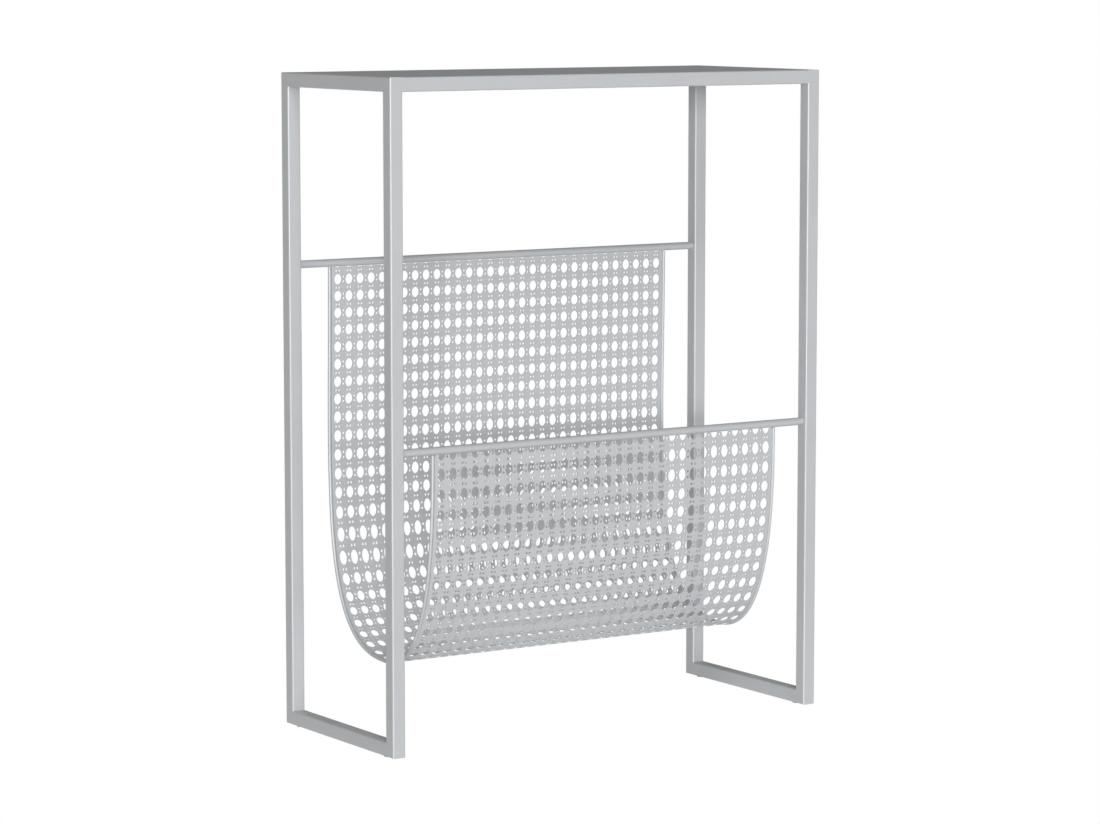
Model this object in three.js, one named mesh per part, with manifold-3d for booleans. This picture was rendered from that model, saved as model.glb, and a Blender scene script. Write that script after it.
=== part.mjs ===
// Free-standing periodical rack. Two end frames of mitred square steel tube carry a flush table top and two
// round cross rods, and a perforated sheet sling hangs in a deep U between the high rear rod and the low front one.
// Millimetres, +Z up, -Y to the front. The origin lies on the floor, under the middle of the rack.

import * as THREE from 'three';
import { mergeVertices } from 'three/addons/utils/BufferGeometryUtils.js';
import Module from 'manifold-3d';

// Rack, over its outer faces
const RACK_WIDTH = 457;
const RACK_DEPTH = 191;
const RACK_HEIGHT = 591;

// Square tube of the frame
const TUBE_SIZE = 12.7;
const TUBE_WALL = 1.2;
const TUBE_CORNER_RADIUS = 1.2;

// Table top: a folded tray, let in flush between the top rails
const TRAY_SHEET = 1.5;
const TRAY_FLANGE = 10;

// Cross rods, with the heights of their axes above the floor
const ROD_DIAMETER = 7;
const REAR_ROD_HEIGHT = 419;
const FRONT_ROD_HEIGHT = 267;

// Sling: the gap from each end frame to its edge wire, and the lowest point of its centre line
const SLING_SIDE_GAP = 30.8;
const SLING_SHEET = 1;
const SLING_BOTTOM_HEIGHT = 69;
const SLING_BOTTOM_OFFSET = -6.5;
// Each wall falls straight from its rod by its drop, and its lower handle lies its pull outside the rod's plane
const SLING_REAR_DROP = 187;
const SLING_REAR_PULL = 24.5;
const SLING_FRONT_DROP = 73;
const SLING_FRONT_PULL = -4.7;
const EDGE_WIRE_DIAMETER = 3;
const WELD_GAP = 0.3;

// Ovals punched in the sling, in columns and rows with a plain border. The pattern is drawn enlarged, so that each
// opening stands for a block of ovals and as much of the sheet is open. Pin holes between the ovals are left out.
const OVAL_WIDTH = 7.7;
const OVAL_HEIGHT = 9.9;
const OVAL_COLUMN_PITCH = 11.66;
const OVAL_ROW_PITCH = 16;
const OVAL_LEAST_BORDER = 5;
const PATTERN_SCALE = 2.5;

// Push-in floor glides
const GLIDE_HEAD_DIAMETER = 9;
const GLIDE_HEAD_HEIGHT = 1;
const GLIDE_HEAD_CHAMFER = 0.4;
const GLIDE_STEM_DIAMETER = 4.4;
const GLIDE_STEM_LENGTH = 6;
const GLIDE_STEM_TAPER = 0.8;
const GLIDE_HOLE_CLEARANCE = 0.3;
const GLIDE_INSET = 18;

// Facets of round forms
const TUBE_CORNER_FACETS = 2;
const ROD_SIDES = 24;
const WIRE_SIDES = 8;
const WIRE_STEPS = 48;
const HOLE_SIDES = 8;
const GLIDE_SIDES = 16;

// Places worked out from the sizes above
const frameBase = GLIDE_HEAD_HEIGHT;
const frameHeight = RACK_HEIGHT - frameBase;
const innerWidth = RACK_WIDTH - 2 * TUBE_SIZE;
const innerDepth = RACK_DEPTH - 2 * TUBE_SIZE;
const sideX = (RACK_WIDTH - TUBE_SIZE) / 2;
const legY = (RACK_DEPTH - TUBE_SIZE) / 2;
const railZ = RACK_HEIGHT - TUBE_SIZE / 2;
const weldDrop = ROD_DIAMETER / 2 + WELD_GAP;
const wireX = innerWidth / 2 - SLING_SIDE_GAP - EDGE_WIRE_DIAMETER / 2;
const sheetWidth = 2 * wireX - EDGE_WIRE_DIAMETER - 2 * WELD_GAP;
const holeWidth = PATTERN_SCALE * OVAL_WIDTH;
const holeHeight = PATTERN_SCALE * OVAL_HEIGHT;
const columnPitch = PATTERN_SCALE * OVAL_COLUMN_PITCH;
const rowPitch = PATTERN_SCALE * OVAL_ROW_PITCH;

const wasm = await Module();
wasm.setup();

function solidOf(geometry) {
  const bare = new THREE.BufferGeometry();
  bare.setAttribute('position', geometry.getAttribute('position').clone());
  bare.setIndex(geometry.getIndex());
  const merged = mergeVertices(bare);
  const vertProperties = new Float32Array(merged.getAttribute('position').array);
  const triVerts = new Uint32Array(merged.getIndex().array);
  return new wasm.Manifold(new wasm.Mesh({ numProp: 3, vertProperties, triVerts }));
}

function cut(geometry, ...tools) {
  const solid = tools.reduce((rest, tool) => rest.subtract(solidOf(tool)), solidOf(geometry));
  const { vertProperties, triVerts } = solid.getMesh();
  const result = new THREE.BufferGeometry();
  result.setAttribute('position', new THREE.BufferAttribute(vertProperties, 3));
  result.setIndex(new THREE.BufferAttribute(triVerts, 1));
  result.computeVertexNormals();
  return result;
}

// Satin silver-grey powder coat on every steel piece
function satinSteel() {
  return new THREE.MeshStandardMaterial({ color: 0xb4b6b8, roughness: 0.42, metalness: 0.65 });
}

function greyNylon() {
  return new THREE.MeshStandardMaterial({ color: 0x55585a, roughness: 0.6, metalness: 0 });
}

function named(name, geometry, material) {
  const mesh = new THREE.Mesh(geometry, material);
  mesh.name = name;
  return mesh;
}

// Tube along +Z, cut square: a rounded square bar with a square bore right through it
function squareTube(length) {
  const flat = TUBE_SIZE / 2 - TUBE_CORNER_RADIUS;
  const section = new THREE.Shape();
  for (const [x, y, start] of [[1, 1, 0], [-1, 1, 0.5], [-1, -1, 1], [1, -1, 1.5]]) {
    section.absarc(x * flat, y * flat, TUBE_CORNER_RADIUS, start * Math.PI, (start + 0.5) * Math.PI);
  }
  section.closePath();
  const bar = new THREE.ExtrudeGeometry(section, {
    depth: length,
    bevelEnabled: false,
    curveSegments: TUBE_CORNER_FACETS / 2,
  });
  const boreSize = TUBE_SIZE - 2 * TUBE_WALL;
  const bore = new THREE.BoxGeometry(boreSize, boreSize, 2 * length);
  return cut(bar, bore.translate(0, 0, length / 2));
}

// Tube along +Z, mitred at both ends so that its +Y side is the short one
function mitredTube(length) {
  const geometry = squareTube(length);
  const position = geometry.getAttribute('position');
  for (let i = 0; i < position.count; i += 1) {
    const setback = position.getY(i) + TUBE_SIZE / 2;
    const z = position.getZ(i);
    position.setZ(i, z < length / 2 ? z + setback : z - setback);
  }
  return geometry;
}

// Foot rail, with a hole through its lower wall for each glide
function footRail() {
  const holeRadius = GLIDE_STEM_DIAMETER / 2 + GLIDE_HOLE_CLEARANCE;
  const holes = [GLIDE_INSET, RACK_DEPTH - GLIDE_INSET].map((along) => {
    const hole = new THREE.CylinderGeometry(holeRadius, holeRadius, 2 * TUBE_WALL, GLIDE_SIDES);
    return hole.translate(0, (TUBE_WALL - TUBE_SIZE) / 2, along);
  });
  return cut(mitredTube(RACK_DEPTH), ...holes);
}

// End frame in the YZ plane: each member turns its short side to the middle of the frame
function endFrame(side) {
  const frame = new THREE.Group();
  const members = [
    ['front_leg', mitredTube(frameHeight), 0, -legY, frameBase],
    ['rear_leg', mitredTube(frameHeight), Math.PI, legY, RACK_HEIGHT],
    ['foot_rail', footRail(), Math.PI / 2, RACK_DEPTH / 2, frameBase + TUBE_SIZE / 2],
    ['top_rail', mitredTube(RACK_DEPTH), -Math.PI / 2, -RACK_DEPTH / 2, railZ],
  ];
  for (const [name, geometry, turn, y, z] of members) {
    const member = named(`${side}_${name}`, geometry, satinSteel());
    member.rotation.x = turn;
    member.position.set(0, y, z);
    frame.add(member);
  }
  for (const [name, y] of [['front', -1], ['rear', 1]]) {
    const glide = named(`${side}_${name}_glide`, floorGlide(), greyNylon());
    glide.rotation.x = Math.PI / 2;
    glide.position.set(0, y * (RACK_DEPTH / 2 - GLIDE_INSET), 0);
    frame.add(glide);
  }
  return frame;
}

// Glide standing on its chamfered head, with its stem up its local Y axis
function floorGlide() {
  const headRadius = GLIDE_HEAD_DIAMETER / 2;
  const stemRadius = GLIDE_STEM_DIAMETER / 2;
  const stemTop = GLIDE_HEAD_HEIGHT + GLIDE_STEM_LENGTH;
  const profile = [
    [0, 0],
    [headRadius - GLIDE_HEAD_CHAMFER, 0],
    [headRadius, GLIDE_HEAD_CHAMFER],
    [headRadius, GLIDE_HEAD_HEIGHT],
    [stemRadius, GLIDE_HEAD_HEIGHT],
    [stemRadius, stemTop - GLIDE_STEM_TAPER],
    [stemRadius - GLIDE_STEM_TAPER, stemTop],
    [0, stemTop],
  ];
  return new THREE.LatheGeometry(profile.map(([r, h]) => new THREE.Vector2(r, h)), GLIDE_SIDES);
}

// Long rail between the end frames, centred on its own X axis
function longRail() {
  return squareTube(innerWidth).translate(0, 0, -innerWidth / 2).rotateY(Math.PI / 2);
}

// Tray with its flanges turned down, its top face at height 0
function topTray() {
  const outside = new THREE.BoxGeometry(innerWidth, innerDepth, TRAY_FLANGE);
  outside.translate(0, 0, -TRAY_FLANGE / 2);
  const inside = new THREE.BoxGeometry(innerWidth - 2 * TRAY_SHEET, innerDepth - 2 * TRAY_SHEET, TRAY_FLANGE);
  inside.translate(0, 0, -TRAY_FLANGE / 2 - TRAY_SHEET);
  return cut(outside, inside);
}

// Round rod between the end frames, along its own X axis
function crossRod() {
  const radius = ROD_DIAMETER / 2;
  return new THREE.CylinderGeometry(radius, radius, innerWidth, ROD_SIDES).rotateZ(Math.PI / 2);
}

// Centre line of the sling in the plane X = 0, from under the rear rod down and up to the front rod
function slingProfile() {
  const at = (y, z) => new THREE.Vector3(0, y, z);
  const rearTop = REAR_ROD_HEIGHT - weldDrop;
  const frontTop = FRONT_ROD_HEIGHT - weldDrop;
  const bottom = at(SLING_BOTTOM_OFFSET, SLING_BOTTOM_HEIGHT);
  const profile = new THREE.CurvePath();
  profile.add(new THREE.CubicBezierCurve3(
    at(legY, rearTop),
    at(legY, rearTop - SLING_REAR_DROP),
    at(legY + SLING_REAR_PULL, SLING_BOTTOM_HEIGHT),
    bottom,
  ));
  profile.add(new THREE.CubicBezierCurve3(
    bottom,
    at(-legY - SLING_FRONT_PULL, SLING_BOTTOM_HEIGHT),
    at(-legY, frontTop - SLING_FRONT_DROP),
    at(-legY, frontTop),
  ));
  return profile;
}

// Triangles from a ring of outer points to a ring of inner ones, both counter-clockwise and begun side by side
function stitch(outer, inner) {
  const triangles = [];
  let o = 0;
  let i = 0;
  while (o < outer.length || i < inner.length) {
    const from = outer[o % outer.length];
    const rim = inner[i % inner.length];
    if ((o + 1) / outer.length <= (i + 1) / inner.length) {
      o += 1;
      triangles.push([from, outer[o % outer.length], rim]);
    } else {
      i += 1;
      triangles.push([from, inner[i % inner.length], rim]);
    }
  }
  return triangles;
}

// Bands of the sheet come in threes: a plain one, and two that share a row of holes
const PLAIN = 0;
const HOLE_START = 1;

// How many pitches of holes fit between plain borders, and the border that is left at each end
function patternFit(size, pitch) {
  const count = Math.floor((size - 2 * OVAL_LEAST_BORDER) / pitch);
  return { count, border: (size - count * pitch) / 2 };
}

// Sheet of the sling. It is drawn flat, across X and along the profile, and each point is then laid on the bent
// sheet's outer or inner face. Each row of holes lies across two bands, with a plain band before and after it.
function slingSheet() {
  const profile = slingProfile();
  const length = profile.getLength();
  const columns = patternFit(sheetWidth, columnPitch);
  const rows = patternFit(length, rowPitch);
  const bandHeight = (holeHeight + rowPitch) / 4;
  const columnLine = (_, k) => columns.border + k * columnPitch;
  const rowLines = (_, k) => [-1, 0, 1].map((side) => rows.border + (k + 0.5) * rowPitch + side * bandHeight);
  const xLines = [0, ...Array.from({ length: columns.count + 1 }, columnLine), sheetWidth];
  const sLines = [0, ...Array.from({ length: rows.count }, rowLines).flat(), length];
  const points = [];
  const triangles = [];

  // A point of the flat sheet, as a pair of vertices on the outer and the inner face
  function pair(x, s) {
    const point = profile.getPointAt(s / length);
    const along = profile.getTangentAt(s / length);
    return [1, -1].map((face) => {
      const out = face * SLING_SHEET / 2;
      points.push(x - sheetWidth / 2, point.y - along.z * out, point.z + along.y * out);
      return points.length / 3 - 1;
    });
  }

  function faces([a, b, c]) {
    triangles.push(a[0], b[0], c[0], c[1], b[1], a[1]);
  }

  // Wall through the sheet along an edge, with the sheet to the right of it
  function wall(a, b) {
    triangles.push(a[0], b[0], b[1], a[0], b[1], a[1]);
  }

  // Hole in a cell, with its rim begun beside the first corner of the cell
  function hole(corners, x, s) {
    const rim = [];
    for (let k = 0; k < HOLE_SIDES; k += 1) {
      const turn = 2 * Math.PI * k / HOLE_SIDES - Math.PI / 4;
      rim.push(pair(x + Math.cos(turn) * holeWidth / 2, s + Math.sin(turn) * holeHeight / 2));
    }
    stitch(corners, rim).forEach(faces);
    rim.forEach((from, k) => wall(from, rim[(k + 1) % HOLE_SIDES]));
  }

  const grid = sLines.map((s) => xLines.map((x) => pair(x, s)));
  for (let row = 0; row + 1 < sLines.length; row += 1) {
    for (let column = 0; column + 1 < xLines.length; column += 1) {
      const inBorder = column === 0 || column + 2 === xLines.length;
      const band = inBorder ? PLAIN : row % 3;
      if (band === HOLE_START) {
        const lines = grid.slice(row, row + 3);
        const right = lines.map((line) => line[column + 1]);
        const left = lines.toReversed().map((line) => line[column]);
        hole([...right, ...left], (xLines[column] + xLines[column + 1]) / 2, sLines[row + 1]);
      } else if (band === PLAIN) {
        faces([grid[row][column + 1], grid[row + 1][column + 1], grid[row + 1][column]]);
        faces([grid[row][column + 1], grid[row + 1][column], grid[row][column]]);
      }
    }
  }
  const edge = [
    ...grid[0],
    ...grid.slice(1, -1).map((line) => line.at(-1)),
    ...grid.at(-1).toReversed(),
    ...grid.slice(1, -1).toReversed().map((line) => line[0]),
  ];
  edge.forEach((from, k) => wall(edge[(k + 1) % edge.length], from));

  const geometry = new THREE.BufferGeometry();
  geometry.setAttribute('position', new THREE.Float32BufferAttribute(points, 3));
  geometry.setIndex(triangles);
  geometry.computeVertexNormals();
  return geometry;
}

// Edge wire that follows the sling's centre line
function edgeWire() {
  const section = new THREE.Shape();
  section.absarc(0, 0, EDGE_WIRE_DIAMETER / 2, 0, 2 * Math.PI);
  return new THREE.ExtrudeGeometry(section, {
    steps: WIRE_STEPS,
    curveSegments: WIRE_SIDES / 2,
    extrudePath: slingProfile(),
  });
}

const rack = new THREE.Group();

for (const [side, sign] of [['left', -1], ['right', 1]]) {
  const frame = endFrame(side);
  frame.position.x = sign * sideX;
  rack.add(frame);

  const wire = named(`${side}_edge_wire`, edgeWire(), satinSteel());
  wire.position.x = sign * wireX;
  rack.add(wire);
}

for (const [end, sign, rodHeight] of [['front', -1, FRONT_ROD_HEIGHT], ['rear', 1, REAR_ROD_HEIGHT]]) {
  const rail = named(`${end}_top_rail`, longRail(), satinSteel());
  rail.position.set(0, sign * legY, railZ);
  const rod = named(`${end}_rod`, crossRod(), satinSteel());
  rod.position.set(0, sign * legY, rodHeight);
  rack.add(rail, rod);
}

const panel = named('top_panel', topTray(), satinSteel());
panel.position.z = RACK_HEIGHT;
rack.add(panel, named('sling_sheet', slingSheet(), satinSteel()));

export default rack;
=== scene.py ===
"""Looks of a free-standing periodical rack in satin silver steel.

Two end frames of mitred square tube carry a flush table top and two round cross rods. A perforated sheet
sling, edged with wire, hangs in a deep U between the high rear rod and the low front one. Lengths are in
metres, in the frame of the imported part: +Z up, -Y to the front, the origin on the floor under the middle.
"""

import logging
import math
from collections.abc import Callable, Iterator
from contextlib import contextmanager
from dataclasses import dataclass, field
from enum import Enum
from typing import Any

import bmesh
import bpy
import numpy as np
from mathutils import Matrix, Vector


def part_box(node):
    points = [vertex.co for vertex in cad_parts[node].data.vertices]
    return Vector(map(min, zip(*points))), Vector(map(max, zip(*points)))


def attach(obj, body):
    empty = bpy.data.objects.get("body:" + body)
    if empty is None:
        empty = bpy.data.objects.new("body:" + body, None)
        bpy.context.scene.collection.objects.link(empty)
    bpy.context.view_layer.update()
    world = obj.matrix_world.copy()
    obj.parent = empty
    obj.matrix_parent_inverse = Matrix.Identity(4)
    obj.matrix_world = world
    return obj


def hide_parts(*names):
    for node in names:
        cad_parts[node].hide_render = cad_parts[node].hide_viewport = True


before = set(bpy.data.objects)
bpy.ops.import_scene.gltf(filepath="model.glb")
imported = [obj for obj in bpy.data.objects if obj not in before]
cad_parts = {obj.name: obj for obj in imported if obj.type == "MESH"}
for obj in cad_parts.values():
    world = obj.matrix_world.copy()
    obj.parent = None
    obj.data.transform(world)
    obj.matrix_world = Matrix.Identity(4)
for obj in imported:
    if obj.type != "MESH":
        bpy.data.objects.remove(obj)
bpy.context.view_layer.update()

BODY = "root"
MM = 0.001
SMOOTH_ANGLE = math.radians(35)
# Least part along Z of the normal of a face that looks up or down
LEVEL_FACE = 0.5

log = logging.getLogger("rack")

Colour = tuple[float, float, float, float]
WHITE: Colour = (1, 1, 1, 1)


class Element(Enum):
    """Kinds of element that a selection in edit mode holds."""

    VERTEX = "VERT"
    EDGE = "EDGE"
    FACE = "FACE"


class Slot(Enum):
    """Material slots of the part's record."""

    COAT = "satin_silver_coat"
    NYLON = "glide_nylon"


class Side(Enum):
    """Left and right of the rack, seen from the front."""

    LEFT = "left"
    RIGHT = "right"


class End(Enum):
    """Front and rear of the rack."""

    FRONT = "front"
    REAR = "rear"


class Member(Enum):
    """Members of an end frame, each with the turn about X that lays an upright tube in its place."""

    FRONT_LEG = ("front_leg", 0.0)
    REAR_LEG = ("rear_leg", math.pi)
    FOOT_RAIL = ("foot_rail", math.pi / 2)
    TOP_RAIL = ("top_rail", -math.pi / 2)

    @property
    def label(self) -> str:
        """Name of the member, as in its node's name."""
        return self.value[0]

    @property
    def turn(self) -> float:
        """Turn about X, after which the tube's short side faces the middle of the frame."""
        return self.value[1]


def deselect_objects() -> None:
    """Leaves no object selected, so that a new primitive stands alone."""
    bpy.ops.object.select_all(action="DESELECT")


def activate(piece: bpy.types.Object) -> None:
    """Selects one object, and nothing else, and makes it the active one."""
    deselect_objects()
    piece.select_set(True)
    bpy.context.view_layer.objects.active = piece


def newest(name: str) -> bpy.types.Object:
    """Names the object that the last primitive operator added, and returns it."""
    piece = bpy.context.active_object
    piece.name = name
    piece.data.name = name
    return piece


@contextmanager
def editing(piece: bpy.types.Object, element: Element) -> Iterator[None]:
    """Edit mode on one piece, with nothing selected at its start.

    Args:
        piece: The mesh to edit.
        element: What selections hold.
    """
    activate(piece)
    bpy.ops.object.mode_set(mode="EDIT")
    bpy.ops.mesh.select_mode(type=element.value)
    bpy.ops.mesh.select_all(action="DESELECT")
    yield
    bpy.ops.object.mode_set(mode="OBJECT")


def pick_edges(piece: bpy.types.Object, wanted: Callable[[Vector, Vector], bool]) -> None:
    """Selects edges of the piece that is being edited.

    Args:
        piece: The mesh in edit mode.
        wanted: Test of an edge's two end points.
    """
    mesh = bmesh.from_edit_mesh(piece.data)
    for edge in mesh.edges:
        edge.select_set(wanted(edge.verts[0].co, edge.verts[1].co))
    bmesh.update_edit_mesh(piece.data)


def pick_faces(piece: bpy.types.Object, wanted: Callable[[Vector, Vector], bool]) -> None:
    """Selects faces of the piece that is being edited.

    Args:
        piece: The mesh in edit mode.
        wanted: Test of a face's centre and normal.
    """
    mesh = bmesh.from_edit_mesh(piece.data)
    for face in mesh.faces:
        face.select_set(wanted(face.calc_center_median(), face.normal))
    bmesh.update_edit_mesh(piece.data)


def modify(piece: bpy.types.Object, kind: str, **settings: Any) -> None:
    """Adds a modifier to a piece and applies it.

    Args:
        piece: The mesh to change.
        kind: Type of the modifier.
        settings: Properties of the modifier.
    """
    activate(piece)
    modifier = piece.modifiers.new(kind, kind)
    for setting, value in settings.items():
        setattr(modifier, setting, value)
    bpy.ops.object.modifier_apply(modifier=modifier.name)


def settle(piece: bpy.types.Object, centre: Vector, turn: tuple[float, float, float] = (0, 0, 0)) -> None:
    """Turns a piece, moves it to its place and keeps that place in its mesh.

    Args:
        piece: The object to place.
        centre: Where its own origin goes.
        turn: Turns about X, Y and Z.
    """
    piece.rotation_euler = turn
    piece.location = centre
    activate(piece)
    bpy.ops.object.transform_apply(location=True, rotation=True, scale=True)


def shade(piece: bpy.types.Object) -> None:
    """Shades rounded stretches smooth, and keeps edges crisp."""
    activate(piece)
    bpy.ops.object.shade_smooth_by_angle(angle=SMOOTH_ANGLE)


def smooth(piece: bpy.types.Object) -> None:
    """Shades a piece, and keeps its flat faces flat beside its rounded edges."""
    shade(piece)
    modify(piece, "WEIGHTED_NORMAL", keep_sharp=True)


def add_block(name: str, size: Vector, centre: Vector) -> bpy.types.Object:
    """Adds a box to be shaped further.

    Args:
        name: Name of the object.
        size: Its lengths along X, Y and Z.
        centre: The middle of the box.

    Returns:
        The new object, with its place in its mesh.
    """
    deselect_objects()
    bpy.ops.mesh.primitive_cube_add(size=1)
    block = newest(name)
    block.scale = size
    settle(block, centre)
    return block


def middle_and_size(node: str) -> tuple[Vector, Vector]:
    """Centre and lengths of a node's box."""
    low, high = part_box(node)
    return (low + high) / 2, high - low


class Signal:
    """An output socket of a node tree, on which arithmetic adds Math nodes."""

    def __init__(self, graph: "Graph", socket: bpy.types.NodeSocket) -> None:
        """Keeps the socket and the graph that it belongs to."""
        self.graph = graph
        self.socket = socket

    def _math(self, operation: str, first: Any, second: Any) -> "Signal":
        """Adds a Math node on two values or signals."""
        return self.graph.node("ShaderNodeMath", {"operation": operation}, {0: first, 1: second})

    def __add__(self, other: Any) -> "Signal":
        """Sum."""
        return self._math("ADD", self, other)

    def __radd__(self, other: Any) -> "Signal":
        """Sum, from the right."""
        return self._math("ADD", other, self)

    def __mul__(self, other: Any) -> "Signal":
        """Product."""
        return self._math("MULTIPLY", self, other)

    def __rmul__(self, other: Any) -> "Signal":
        """Product, from the right."""
        return self._math("MULTIPLY", other, self)


class Graph:
    """The nodes of one material or of the world.

    A Mix node has sockets for every kind of data, so those for colours go by number.
    """

    MIX_SHARE = 0
    MIX_FIRST = 6
    MIX_SECOND = 7
    MIX_RESULT = 2

    def __init__(self, tree: bpy.types.NodeTree) -> None:
        """Empties the tree."""
        self.tree = tree
        tree.nodes.clear()

    def node(
        self,
        kind: str,
        settings: dict[str, Any] | None = None,
        sockets: dict[str | int, Any] | None = None,
        output: str | int = 0,
    ) -> Signal:
        """Adds a node.

        Args:
            kind: Type of the node.
            settings: Its properties, which are set first.
            sockets: Values or signals for its inputs, by name or number.
            output: The output to use further.

        Returns:
            That output, or a signal without a socket where the node has none.
        """
        made = self.tree.nodes.new(kind)
        for setting, value in (settings or {}).items():
            setattr(made, setting, value)
        for key, value in (sockets or {}).items():
            if isinstance(value, Signal):
                self.tree.links.new(value.socket, made.inputs[key])
            else:
                made.inputs[key].default_value = value
        return Signal(self, made.outputs[output] if len(made.outputs) else None)

    def blend(self, share: Signal, dark: Colour, light: Colour) -> Signal:
        """Blends two colours.

        Args:
            share: How much of the light colour shows, from 0 to 1.
            dark: The colour at 0.
            light: The colour at 1.

        Returns:
            The blended colour.
        """
        sockets = {self.MIX_SHARE: share, self.MIX_FIRST: dark, self.MIX_SECOND: light}
        return self.node("ShaderNodeMix", {"data_type": "RGBA"}, sockets, output=self.MIX_RESULT)


def new_material(name: str) -> tuple[bpy.types.Material, Graph]:
    """Makes an empty node material, with its graph."""
    material = bpy.data.materials.new(name)
    material.use_nodes = True
    return material, Graph(material.node_tree)


@dataclass(frozen=True)
class SatinCoat:
    """Silver-grey powder coat with metal flakes, satin and slightly uneven as sprayed coats are."""

    name: str = "satin_silver_coat"
    dark: Colour = (0.501, 0.515, 0.529, 1)
    light: Colour = (0.551, 0.565, 0.579, 1)
    metallic: float = 0.3
    roughness: float = 0.5
    roughness_spread: float = 0.08
    cloud_scale: float = 22.0
    cloud_detail: float = 3.0
    flake_scale: float = 2600.0
    flake_share: float = 0.5
    peel_scale: float = 620.0
    peel_detail: float = 1.5
    peel_depth: float = 0.05 * MM
    peel_strength: float = 0.12

    def make(self) -> bpy.types.Material:
        """Builds the material: soft clouds and flakes in the colour, orange peel in the surface.

        Returns:
            The material.
        """
        material, graph = new_material(self.name)
        place = graph.node("ShaderNodeTexCoord", output="Object")
        clouds = graph.node(
            "ShaderNodeTexNoise",
            sockets={"Vector": place, "Scale": self.cloud_scale, "Detail": self.cloud_detail},
        )
        flakes = graph.node(
            "ShaderNodeTexVoronoi", sockets={"Vector": place, "Scale": self.flake_scale}, output="Color"
        )
        glint = graph.node("ShaderNodeSeparateColor", sockets={"Color": flakes})
        tone = clouds * (1 - self.flake_share) + glint * self.flake_share
        colour = graph.blend(tone, self.dark, self.light)
        peel = graph.node(
            "ShaderNodeTexNoise",
            sockets={"Vector": place, "Scale": self.peel_scale, "Detail": self.peel_detail},
        )
        normal = graph.node(
            "ShaderNodeBump",
            sockets={"Strength": self.peel_strength, "Distance": self.peel_depth, "Height": peel},
        )
        coat = graph.node(
            "ShaderNodeBsdfPrincipled",
            sockets={
                "Base Color": colour,
                "Metallic": self.metallic,
                "Roughness": clouds * self.roughness_spread + (self.roughness - self.roughness_spread / 2),
                "Normal": normal,
            },
        )
        graph.node("ShaderNodeOutputMaterial", sockets={"Surface": coat})
        return material


@dataclass(frozen=True)
class GlideNylon:
    """Matt dark grey nylon, finely grained by its mould."""

    name: str = "glide_nylon"
    dark: Colour = (0.07, 0.075, 0.08, 1)
    light: Colour = (0.11, 0.115, 0.12, 1)
    roughness: float = 0.6
    grain_scale: float = 1500.0
    grain_detail: float = 2.0
    grain_depth: float = 0.05 * MM
    grain_strength: float = 0.3

    def make(self) -> bpy.types.Material:
        """Builds the material.

        Returns:
            The material.
        """
        material, graph = new_material(self.name)
        place = graph.node("ShaderNodeTexCoord", output="Object")
        grain = graph.node(
            "ShaderNodeTexNoise",
            sockets={"Vector": place, "Scale": self.grain_scale, "Detail": self.grain_detail},
        )
        colour = graph.blend(grain, self.dark, self.light)
        normal = graph.node(
            "ShaderNodeBump",
            sockets={"Strength": self.grain_strength, "Distance": self.grain_depth, "Height": grain},
        )
        nylon = graph.node(
            "ShaderNodeBsdfPrincipled",
            sockets={"Base Color": colour, "Roughness": self.roughness, "Normal": normal},
        )
        graph.node("ShaderNodeOutputMaterial", sockets={"Surface": nylon})
        return material


@dataclass
class Piece:
    """A finished mesh that stands for one node of the part."""

    mesh: bpy.types.Object
    node: str
    slot: Slot = Slot.COAT

    def dress(self, finishes: dict[Slot, bpy.types.Material]) -> None:
        """Gives the piece its finish and its body, and hides the imported part of the node that it stands
        for.

        Args:
            finishes: The material of each slot.
        """
        self.mesh.data.materials.clear()
        self.mesh.data.materials.append(finishes[self.slot])
        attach(self.mesh, BODY)
        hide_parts(self.node)
        log.info("%s stands for %s with %d faces", self.mesh.name, self.node, len(self.mesh.data.polygons))


@dataclass
class SquareTube:
    """Square steel tube with rounded corners, made upright about the origin."""

    size: float
    length: float
    mitred: bool = False
    wall: float = 1.2 * MM
    corner_radius: float = 1.4 * MM
    corner_segments: int = 5

    def build(self, name: str) -> bpy.types.Object:
        """Shapes the tube from a box.

        Args:
            name: Name of the object.

        Returns:
            The hollow tube along Z. Where it is mitred, its +Y side is the short one.
        """
        tube = add_block(name, Vector((self.size, self.size, self.length)), Vector())
        with editing(tube, Element.EDGE):
            pick_edges(tube, lambda a, b: abs(a.z - b.z) > self.length / 2)
            bpy.ops.mesh.bevel(offset=self.corner_radius, segments=self.corner_segments, affect="EDGES")
        with editing(tube, Element.FACE):
            pick_faces(tube, lambda _, normal: abs(normal.z) > LEVEL_FACE)
            bpy.ops.mesh.delete(type="ONLY_FACE")
        modify(tube, "SOLIDIFY", thickness=self.wall, offset=-1, use_even_offset=True)
        if self.mitred:
            self.mitre(tube)
        smooth(tube)
        return tube

    def mitre(self, tube: bpy.types.Object) -> None:
        """Sets both ends back at 45 degrees, towards the +Y side.

        Args:
            tube: The tube, with its vertices on its two square ends.
        """
        for vertex in tube.data.vertices:
            setback = vertex.co.y + self.size / 2
            vertex.co.z -= math.copysign(setback, vertex.co.z)
        tube.data.update()


@dataclass
class EndFrame:
    """Closed upright frame of four mitred tubes at one end of the rack."""

    side: Side
    pieces: list[Piece] = field(default_factory=list)

    def build(self) -> list[Piece]:
        """Makes the four members where their nodes are.

        Returns:
            The pieces of the frame.
        """
        for member in Member:
            node = f"{self.side.value}_{member.label}"
            centre, lengths = middle_and_size(node)
            tube = SquareTube(size=lengths.x, length=max(lengths), mitred=True).build(f"{node}_tube")
            settle(tube, centre, (member.turn, 0, 0))
            self.pieces.append(Piece(tube, node))
        return self.pieces


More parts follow.
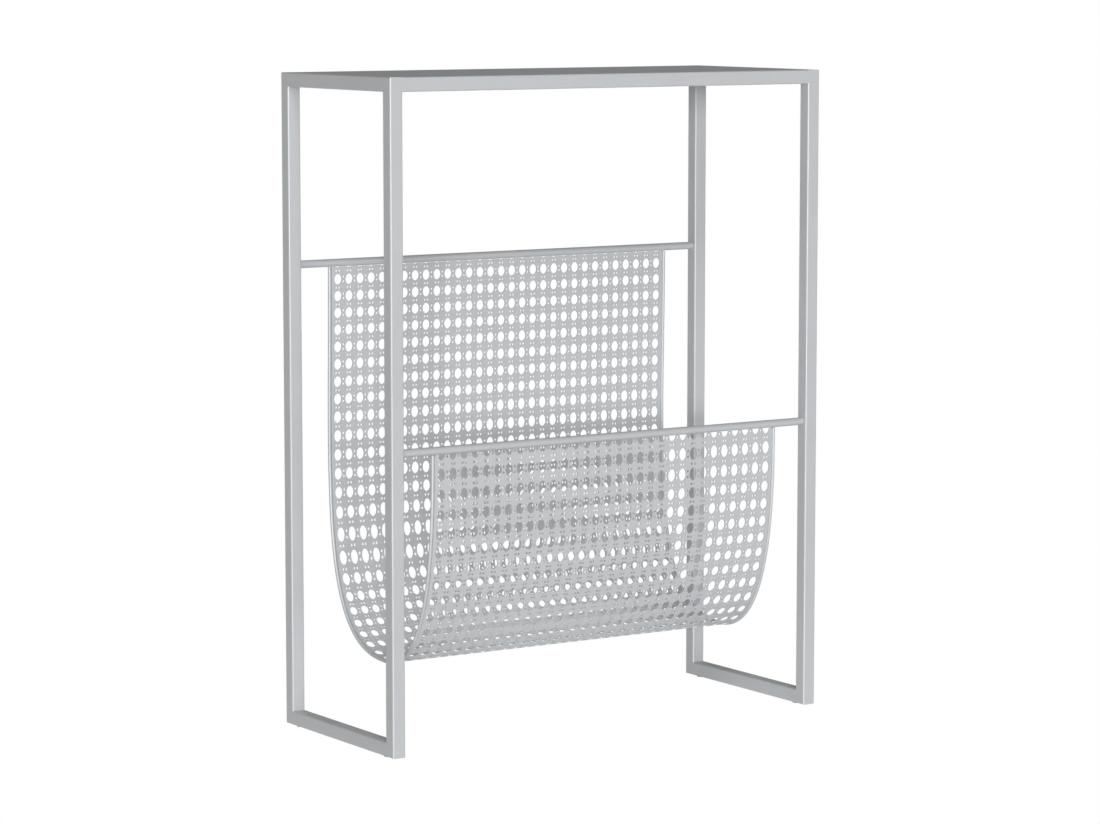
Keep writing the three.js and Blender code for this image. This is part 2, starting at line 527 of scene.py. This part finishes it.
@dataclass
class TableTop:
    """Two long rails, with a folded sheet tray let in flush between the rails."""

    tray_sheet: float = 1.5 * MM
    fold_radius: float = 0.6 * MM
    fold_segments: int = 3
    pieces: list[Piece] = field(default_factory=list)

    def build(self) -> list[Piece]:
        """Makes the rails and the tray.

        Each rail reaches into the rounded corners of the legs, as its ground welds do, so no seam shows.

        Returns:
            The pieces of the table top.
        """
        for end in End:
            node = f"{end.value}_top_rail"
            centre, lengths = middle_and_size(node)
            tube = SquareTube(size=lengths.y, length=lengths.x)
            tube.length += 2 * tube.corner_radius
            rail = tube.build(f"{node}_tube")
            settle(rail, centre, (0, math.pi / 2, 0))
            self.pieces.append(Piece(rail, node))
        self.pieces.append(self.tray())
        return self.pieces

    def tray(self) -> Piece:
        """Folds the tray: an open box with its flanges turned down and its folds rounded.

        Returns:
            The tray.
        """
        node = "top_panel"
        centre, lengths = middle_and_size(node)
        tray = add_block(f"{node}_tray", lengths, centre)
        top = centre.z + lengths.z / 2
        with editing(tray, Element.FACE):
            pick_faces(tray, lambda _, normal: normal.z < -LEVEL_FACE)
            bpy.ops.mesh.delete(type="ONLY_FACE")
        with editing(tray, Element.EDGE):
            pick_edges(tray, lambda a, b: min(a.z, b.z) > top - self.tray_sheet)
            bpy.ops.mesh.bevel(offset=self.fold_radius, segments=self.fold_segments, affect="EDGES")
        modify(tray, "SOLIDIFY", thickness=self.tray_sheet, offset=-1, use_even_offset=True)
        smooth(tray)
        return Piece(tray, node)


@dataclass
class CrossRods:
    """Two round bars welded between the end frames, from which the sling hangs."""

    sides: int = 48
    end_bevel: float = 0.25 * MM
    pieces: list[Piece] = field(default_factory=list)

    def build(self) -> list[Piece]:
        """Makes the rods where their nodes are.

        Returns:
            The pieces.
        """
        for end in End:
            node = f"{end.value}_rod"
            centre, lengths = middle_and_size(node)
            deselect_objects()
            bpy.ops.mesh.primitive_cylinder_add(
                vertices=self.sides, radius=lengths.z / 2, depth=lengths.x, end_fill_type="NGON"
            )
            rod = newest(f"{node}_bar")
            half = lengths.x / 2
            with editing(rod, Element.EDGE):
                pick_edges(rod, lambda a, b: abs(a.z - b.z) < half)
                bpy.ops.mesh.bevel(offset=self.end_bevel, affect="EDGES")
            settle(rod, centre, (0, math.pi / 2, 0))
            smooth(rod)
            self.pieces.append(Piece(rod, node))
        return self.pieces


@dataclass
class SlingProfile:
    """Centre line of the sling across the rack: two cubic curves that meet at its lowest point.

    At each rod the curve's handle hangs straight down by the drop. The handle at the lowest point is level,
    and reaches past the rod's plane by the pull, or stops short of it where the pull is negative.
    """

    weld_gap: float = 0.3 * MM
    sheet_thickness: float = 1.0 * MM
    bottom_offset: float = -6.5 * MM
    rear_drop: float = 187 * MM
    rear_pull: float = 24.5 * MM
    front_drop: float = 73 * MM
    front_pull: float = -4.7 * MM
    steps: int = 400

    def knots(self) -> list[tuple[np.ndarray, np.ndarray, np.ndarray]]:
        """Knots of the curve from the rear rod to the front rod.

        Returns:
            Handle before, point and handle after of each knot, as (y, z).
        """
        rear, front = (middle_and_size(f"{end.value}_rod")[0] for end in (End.REAR, End.FRONT))
        rear_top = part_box("rear_rod")[0].z - self.weld_gap
        front_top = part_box("front_rod")[0].z - self.weld_gap
        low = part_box("sling_sheet")[0].z + self.sheet_thickness / 2
        upper = np.array((rear.y, rear_top))
        bottom = np.array((self.bottom_offset, low))
        lower = np.array((front.y, front_top))
        return [
            (upper, upper, upper - (0, self.rear_drop)),
            (np.array((rear.y + self.rear_pull, low)), bottom, np.array((front.y - self.front_pull, low))),
            (lower - (0, self.front_drop), lower, lower),
        ]

    def line(self) -> tuple[np.ndarray, np.ndarray]:
        """Points along the centre line.

        Returns:
            The points as (y, z), and how far along the line each of them lies.
        """
        knots = self.knots()
        share = np.linspace(0, 1, self.steps)[:, None]
        rest = 1 - share
        stretches = []
        for (_, start, out), (back, stop, _) in zip(knots, knots[1:]):
            stretches.append(
                rest**3 * start + 3 * rest**2 * share * out + 3 * rest * share**2 * back + share**3 * stop
            )
        points = np.vstack((stretches[0], stretches[1][1:]))
        steps = np.linalg.norm(np.diff(points, axis=0), axis=1)
        return points, np.concatenate(([0], np.cumsum(steps)))


@dataclass
class PunchedSheet:
    """Sheet with the pattern of woven cane: rows of ovals, with pairs of pin holes between them.

    The pattern is drawn flat, in millimetres, across X and along Y. Bending the sheet draws it out over the
    rear bend and closes it up under it, so its rows come to lie unevenly: row_places pairs a number of rows
    with its distance in millimetres along the sheet from the upper rear edge.
    """

    columns: int = 31
    column_pitch: float = 11.66
    row_pitch: float = 16.0
    first_row: int = -1
    last_row: int = 38
    oval_width: float = 7.7
    oval_height: float = 9.9
    oval_sides: int = 12
    pin_size: float = 2.1
    pin_sides: int = 5
    stacked_pins: float = 2.2
    level_pins: float = 1.55
    pin_clearance: float = 1.5
    weld: float = 0.01
    row_places: tuple[tuple[float, float], ...] = (
        (-2, -19.5), (-1, -4), (3.5, 65), (7.5, 128.5), (12.5, 215), (13.5, 234), (15.5, 276.5),
        (16.5, 294.5), (17.5, 309.5), (20.5, 348.5), (25.5, 428), (27.5, 458), (29.5, 492),
        (32.5, 536), (35.5, 585.5), (38, 632), (39, 650.5),
    )

    def build(self, node: str, profile: SlingProfile) -> bpy.types.Object:
        """Punches the flat sheet, trims it under the rods, bends it and gives it its thickness.

        Args:
            node: The node that the sheet stands for, which gives its width.
            profile: The centre line that it follows, with its thickness.

        Returns:
            The sheet.
        """
        half_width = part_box(node)[1].x / MM
        last = (self.columns - 1) / 2 * self.column_pitch
        right = self.column_pitch / 2 + self.pin_clearance
        left = right - self.column_pitch
        border = half_width - last
        strips = [
            self.strip(-last, 1, -border, right, side_pins=True),
            self.strip(self.column_pitch - last, self.columns - 2, left, right, side_pins=True),
            self.strip(last, 1, left, border, side_pins=False),
        ]
        sheet = strips[0]
        activate(sheet)
        for strip in strips:
            strip.select_set(True)
        bpy.ops.object.join()
        sheet.name = f"{node}_punched"
        sheet.data.name = sheet.name
        line, places = profile.line()
        self.trim(sheet, places[-1] / MM)
        self.bend(sheet, line, places)
        modify(sheet, "SOLIDIFY", thickness=profile.sheet_thickness, offset=0, use_even_offset=True)
        shade(sheet)
        return sheet

    def strip(self, x: float, count: int, left: float, right: float, side_pins: bool) -> bpy.types.Object:
        """Repeats one cell of the pattern over columns and rows.

        Args:
            x: Place of the first column.
            count: Number of columns.
            left: Left edge of the cell, from its oval's centre.
            right: Right edge of the cell.
            side_pins: Whether a pair of pin holes follows to the right of the oval.

        Returns:
            The flat strip.
        """
        strip = self.cell(left, right, side_pins)
        settle(strip, Vector((x, self.first_row * self.row_pitch, 0)))
        rows = self.last_row - self.first_row + 1
        for copies, step in ((count, (self.column_pitch, 0, 0)), (rows, (0, self.row_pitch, 0))):
            modify(
                strip,
                "ARRAY",
                count=copies,
                use_relative_offset=False,
                use_constant_offset=True,
                constant_offset_displace=step,
                use_merge_vertices=True,
                merge_threshold=self.weld,
            )
        return strip

    def cell(self, left: float, right: float, side_pins: bool) -> bpy.types.Object:
        """Punches one cell: an oval, the pin holes after it and those to its right.

        Args:
            left: Left edge, from the oval's centre.
            right: Right edge.
            side_pins: Whether the pin holes to the right are there.

        Returns:
            The flat cell, about its oval's centre.
        """
        deselect_objects()
        bpy.ops.mesh.primitive_plane_add(size=1)
        cell = newest("punched_cell")
        cell.scale = (right - left, self.row_pitch, 1)
        settle(cell, Vector(((left + right) / 2, self.pin_clearance, 0)))
        half_row, half_column = self.row_pitch / 2, self.column_pitch / 2
        pins = [(side * self.level_pins, half_row) for side in (-1, 1)]
        if side_pins:
            pins += [(half_column, side * self.stacked_pins) for side in (-1, 1)]
        with editing(cell, Element.EDGE):
            bpy.ops.mesh.select_all(action="SELECT")
            bpy.ops.mesh.delete(type="ONLY_FACE")
            self.punch((0, 0), self.oval_width, self.oval_height, self.oval_sides)
            for centre in pins:
                self.punch(centre, self.pin_size, self.pin_size, self.pin_sides)
            bpy.ops.mesh.select_all(action="SELECT")
            bpy.ops.mesh.fill(use_beauty=True)
        return cell

    def punch(self, centre: tuple[float, float], width: float, height: float, sides: int) -> None:
        """Draws the edge of a hole in the cell that is being edited.

        Its corners lie a little outside the round or oval hole, so that it has the area of that hole.

        Args:
            centre: The hole's centre.
            width: Its size across.
            height: Its size along the sheet.
            sides: Number of its edges.
        """
        place = (*centre, 0)
        turn = 2 * math.pi / sides
        radius = math.sqrt(turn / math.sin(turn)) / 2
        bpy.ops.mesh.primitive_circle_add(vertices=sides, radius=radius, fill_type="NOTHING", location=place)
        bpy.ops.transform.resize(value=(width, height, 1), center_override=place)

    def trim(self, sheet: bpy.types.Object, length: float) -> None:
        """Merges the strips, and cuts the flat sheet off at its upper edges through the last ovals.

        Args:
            sheet: The flat sheet.
            length: The length of the sheet along its bend.
        """
        rows, places = zip(*self.row_places)
        with editing(sheet, Element.VERTEX):
            bpy.ops.mesh.select_all(action="SELECT")
            bpy.ops.mesh.remove_doubles(threshold=self.weld)
            for place, outward in ((0, -1), (length, 1)):
                cut = float(np.interp(place, places, rows)) * self.row_pitch
                bpy.ops.mesh.select_all(action="SELECT")
                bpy.ops.mesh.bisect(plane_co=(0, cut, 0), plane_no=(0, outward, 0), clear_outer=True)
            bpy.ops.mesh.select_all(action="SELECT")
            bpy.ops.mesh.normals_make_consistent(inside=False)

    def bend(self, sheet: bpy.types.Object, line: np.ndarray, places: np.ndarray) -> None:
        """Lays the flat sheet along the sling's centre line.

        Args:
            sheet: The flat sheet, in millimetres.
            line: Points of the centre line as (y, z).
            places: How far along the line each point lies.
        """
        flat = np.empty(3 * len(sheet.data.vertices))
        sheet.data.vertices.foreach_get("co", flat)
        flat = flat.reshape(-1, 3)
        row, place = zip(*self.row_places)
        along = np.interp(flat[:, 1] / self.row_pitch, row, place) * MM
        bent = np.column_stack(
            (flat[:, 0] * MM, np.interp(along, places, line[:, 0]), np.interp(along, places, line[:, 1]))
        )
        sheet.data.vertices.foreach_set("co", bent.ravel())
        sheet.data.update()


@dataclass
class Sling:
    """Perforated sheet with a wire along each side edge, hung between the rods."""

    profile: SlingProfile = field(default_factory=SlingProfile)
    sheet: PunchedSheet = field(default_factory=PunchedSheet)
    wire_steps: int = 48
    wire_roundness: int = 5
    wire_weld: float = 0.01 * MM
    pieces: list[Piece] = field(default_factory=list)

    def build(self) -> list[Piece]:
        """Makes the sheet and its two edge wires.

        Returns:
            The pieces of the sling.
        """
        node = "sling_sheet"
        self.pieces.append(Piece(self.sheet.build(node, self.profile), node))
        for side in Side:
            self.pieces.append(self.edge_wire(f"{side.value}_edge_wire"))
        return self.pieces

    def edge_wire(self, node: str) -> Piece:
        """Sweeps a round wire along the sling's centre line.

        Args:
            node: The node that the wire stands for.

        Returns:
            The wire.
        """
        centre, lengths = middle_and_size(node)
        deselect_objects()
        bpy.ops.curve.primitive_bezier_curve_add()
        wire = newest(f"{node}_round")
        curve = wire.data
        curve.dimensions = "3D"
        curve.resolution_u = self.wire_steps
        curve.bevel_depth = lengths.x / 2
        curve.bevel_resolution = self.wire_roundness
        curve.use_fill_caps = True
        points = curve.splines[0].bezier_points
        knots = self.profile.knots()
        points.add(len(knots) - len(points))
        for point, knot in zip(points, knots):
            point.handle_left_type = point.handle_right_type = "FREE"
            before, at, after = (Vector((centre.x, y, z)) for y, z in knot)
            point.handle_left, point.co, point.handle_right = before, at, after
        activate(wire)
        bpy.ops.object.convert(target="MESH")
        with editing(wire, Element.VERTEX):
            bpy.ops.mesh.select_all(action="SELECT")
            bpy.ops.mesh.remove_doubles(threshold=self.wire_weld)
            bpy.ops.mesh.normals_make_consistent(inside=False)
        smooth(wire)
        return Piece(wire, node)


@dataclass
class FloorGlides:
    """Push-in nylon glides under the ends of the foot rails."""

    sides: int = 32
    head_height: float = 1.0 * MM
    head_rounding: float = 0.4 * MM
    head_segments: int = 3
    stem_diameter: float = 4.4 * MM
    stem_taper: float = 0.8 * MM
    pieces: list[Piece] = field(default_factory=list)

    def build(self) -> list[Piece]:
        """Makes the four glides where their nodes are.

        Returns:
            The pieces.
        """
        for side in Side:
            for end in End:
                self.pieces.append(self.glide(f"{side.value}_{end.value}_glide"))
        return self.pieces

    def glide(self, node: str) -> Piece:
        """Shapes a glide from a disc: its head is rounded below, and its tapered stem drawn up.

        Args:
            node: The node that the glide stands for.

        Returns:
            The glide.
        """
        centre, lengths = middle_and_size(node)
        low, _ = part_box(node)
        deselect_objects()
        bpy.ops.mesh.primitive_cylinder_add(
            vertices=self.sides, radius=lengths.x / 2, depth=self.head_height, end_fill_type="NGON"
        )
        glide = newest(f"{node}_turned")
        half_head = self.head_height / 2
        with editing(glide, Element.EDGE):
            pick_edges(glide, lambda a, b: max(a.z, b.z) < 0)
            bpy.ops.mesh.bevel(offset=self.head_rounding, segments=self.head_segments, affect="EDGES")
        with editing(glide, Element.FACE):
            pick_faces(glide, lambda middle, normal: normal.z > LEVEL_FACE and middle.z > 0)
            bpy.ops.mesh.inset(thickness=(lengths.x - self.stem_diameter) / 2)
            stem = lengths.z - self.head_height - self.stem_taper
            bpy.ops.mesh.extrude_region_move(TRANSFORM_OT_translate={"value": (0, 0, stem)})
            bpy.ops.mesh.extrude_region_move(TRANSFORM_OT_translate={"value": (0, 0, self.stem_taper)})
            narrow = (self.stem_diameter - 2 * self.stem_taper) / self.stem_diameter
            bpy.ops.transform.resize(value=(narrow, narrow, 1), center_override=(0, 0, 0))
        settle(glide, Vector((centre.x, centre.y, low.z + half_head)))
        smooth(glide)
        return Piece(glide, node, Slot.NYLON)


@dataclass(frozen=True)
class Softbox:
    """Soft rectangular light, of an even brightness, turned to a point.

    Its azimuth is in degrees from the front of the rack, towards +X, and its elevation and the spread of its
    beam are in degrees too. Its brightness is that of its surface, whatever its size. The coat shows no
    reflection of it where it isn't mirrored.
    """

    name: str
    azimuth: float
    elevation: float
    width: float
    height: float
    brightness: float
    mirrored: bool = True
    spread: float = 180.0
    distance: float = 20.0
    aim: tuple[float, float, float] = (0, 0, 0.3)

    def make(self) -> None:
        """Adds the light, which the camera doesn't see itself."""
        turn, lift = math.radians(self.azimuth), math.radians(self.elevation)
        way = Vector((math.sin(turn) * math.cos(lift), -math.cos(turn) * math.cos(lift), math.sin(lift)))
        deselect_objects()
        bpy.ops.object.light_add(type="AREA", location=Vector(self.aim) + self.distance * way)
        lamp = newest(self.name)
        lamp.data.shape = "RECTANGLE"
        lamp.data.size, lamp.data.size_y = self.width, self.height
        lamp.data.spread = math.radians(self.spread)
        lamp.data.energy = self.brightness * math.pi * self.width * self.height
        lamp.rotation_euler = (-way).to_track_quat("-Z", "Y").to_euler()
        lamp.visible_camera = False
        lamp.visible_glossy = self.mirrored


@dataclass(frozen=True)
class Studio:
    """Pale floor, white surroundings, soft lights and the camera."""

    floor_size: float = 120.0
    floor_colour: Colour = (0.8, 0.8, 0.8, 1)
    floor_roughness: float = 1.0
    floor_gloss: float = 0.0
    floor_glow: float = 0.17
    surroundings: float = 0.21
    camera_place: tuple[float, float, float] = (-1.8518, -2.8402, 0.6805)
    camera_down: float = 6.728
    camera_turn: float = -33.048
    camera_lens: float = 122.27
    sensor_width: float = 36.0
    far_clip: float = 400.0
    softboxes: tuple[Softbox, ...] = (
        Softbox("key_softbox", azimuth=-5, elevation=5, width=1.4, height=1.4, brightness=90.0),
        Softbox("camera_softbox", azimuth=-35, elevation=5, width=5.2, height=4.0, brightness=37.0),
        Softbox("high_softbox", azimuth=-20, elevation=45, width=6.0, height=6.0, brightness=10.4),
        Softbox(
            "rear_softbox", azimuth=150, elevation=4, width=5.2, height=3.4, brightness=42.0, mirrored=False
        ),
        Softbox(
            "pocket_softbox",
            azimuth=0,
            elevation=90,
            width=0.3,
            height=0.06,
            brightness=1.5,
            mirrored=False,
            spread=66,
            distance=0.15,
            aim=(0, 0, 0.1),
        ),
    )

    def build(self) -> None:
        """Sets up the whole studio."""
        self.floor()
        self.sky()
        for softbox in self.softboxes:
            softbox.make()
        self.camera()
        bpy.context.scene.view_settings.view_transform = "Standard"

    def floor(self) -> None:
        """Lays a wide pale floor, which the camera sees as the same white as the background."""
        deselect_objects()
        bpy.ops.mesh.primitive_plane_add(size=self.floor_size)
        floor = newest("studio_floor")
        material, graph = new_material("pale_floor")
        pale = graph.node(
            "ShaderNodeBsdfPrincipled",
            sockets={
                "Base Color": self.floor_colour,
                "Roughness": self.floor_roughness,
                "Specular IOR Level": self.floor_gloss,
                "Emission Color": WHITE,
                "Emission Strength": self.floor_glow,
            },
        )
        graph.node("ShaderNodeOutputMaterial", sockets={"Surface": self.white_to_camera(graph, pale)})
        floor.data.materials.append(material)

    def sky(self) -> None:
        """Fills the surroundings with dim light, against a white background."""
        world = bpy.data.worlds.new("studio")
        bpy.context.scene.world = world
        world.use_nodes = True
        graph = Graph(world.node_tree)
        dim = graph.node("ShaderNodeBackground", sockets={"Strength": self.surroundings})
        graph.node("ShaderNodeOutputWorld", sockets={"Surface": self.white_to_camera(graph, dim)})

    def white_to_camera(self, graph: Graph, shader: Signal) -> Signal:
        """Shows plain white where the camera looks at a surface, and its own shader to all other rays.

        Args:
            graph: The nodes of the surface.
            shader: What lights the rack and its reflections.

        Returns:
            The mixed shader.
        """
        seen = graph.node("ShaderNodeLightPath", output="Is Camera Ray")
        white = graph.node("ShaderNodeEmission", sockets={"Color": WHITE})
        return graph.node("ShaderNodeMixShader", sockets={0: seen, 1: shader, 2: white})

    def camera(self) -> None:
        """Stands the camera at the front left, a little above the table top."""
        deselect_objects()
        bpy.ops.object.camera_add(
            location=self.camera_place,
            rotation=(math.radians(90 - self.camera_down), 0, math.radians(self.camera_turn)),
        )
        camera = newest("view_camera")
        camera.data.sensor_width = self.sensor_width
        camera.data.lens = self.camera_lens
        camera.data.clip_end = self.far_clip
        bpy.context.scene.camera = camera


def main() -> None:
    """Builds the studio and the rack, and dresses every piece."""
    logging.basicConfig(level=logging.INFO, format="%(name)s: %(message)s")
    Studio().build()
    finishes = {Slot.COAT: SatinCoat().make(), Slot.NYLON: GlideNylon().make()}
    assemblies = [EndFrame(Side.LEFT), EndFrame(Side.RIGHT), TableTop(), CrossRods(), Sling(), FloorGlides()]
    for assembly in assemblies:
        for piece in assembly.build():
            piece.dress(finishes)


if __name__ == "__main__":
    main()
